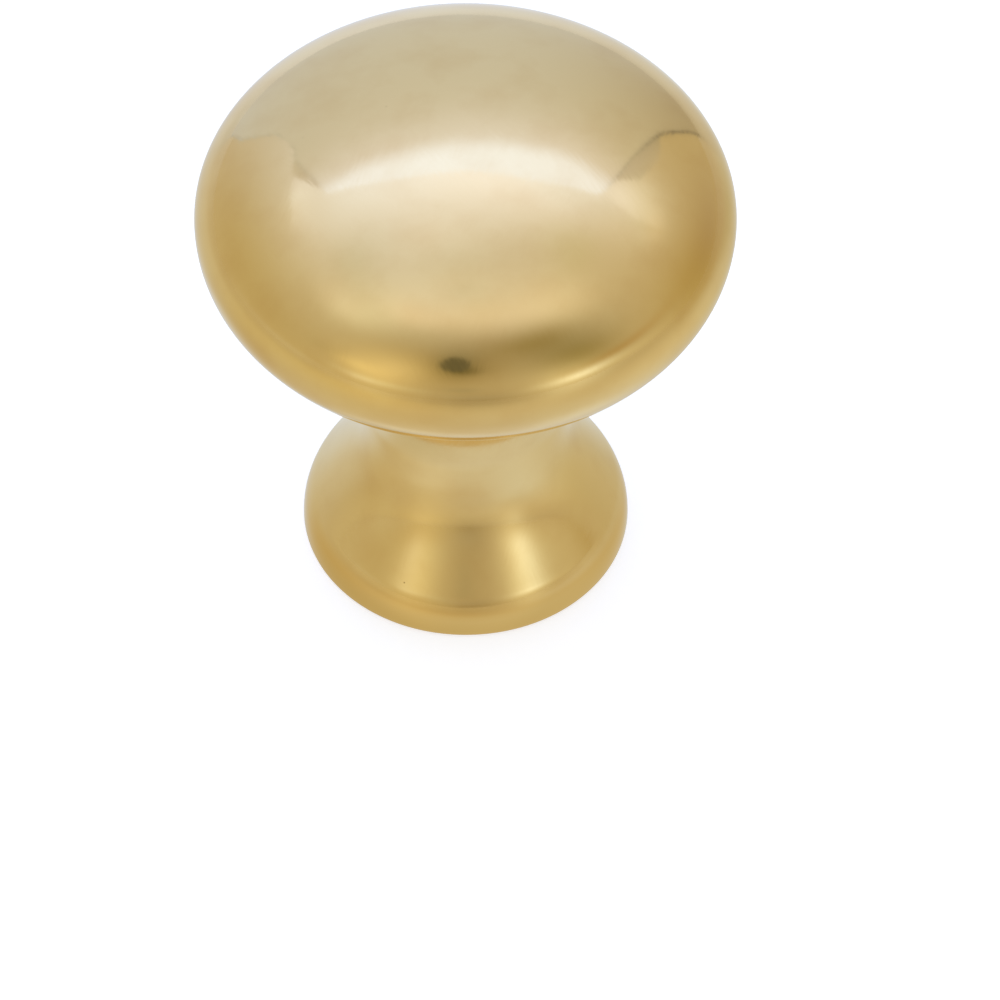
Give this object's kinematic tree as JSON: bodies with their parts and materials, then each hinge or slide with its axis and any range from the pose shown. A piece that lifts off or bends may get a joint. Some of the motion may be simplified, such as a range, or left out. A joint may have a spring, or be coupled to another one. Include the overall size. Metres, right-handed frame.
{
  "type": "cabinet knob",
  "caption": "Round cabinet knob of solid polished brass, with an oblate head, a waisted neck and a bell-shaped foot, fixed by a screw from behind into the tapped hole in its flat base.",
  "frame": {"origin": "centre of the flat base, where the knob meets the door or drawer front", "axes": "+Z along the knob's axis, from the base to the crown; X and Y are free, because the knob is round"},
  "size_m": [0.027, 0.027, 0.0288],
  "materials": {
    "polished_brass": "polished"
  },
  "bodies": {
    "root": {"knob": "polished_brass"}
  },
  "joints": []
}
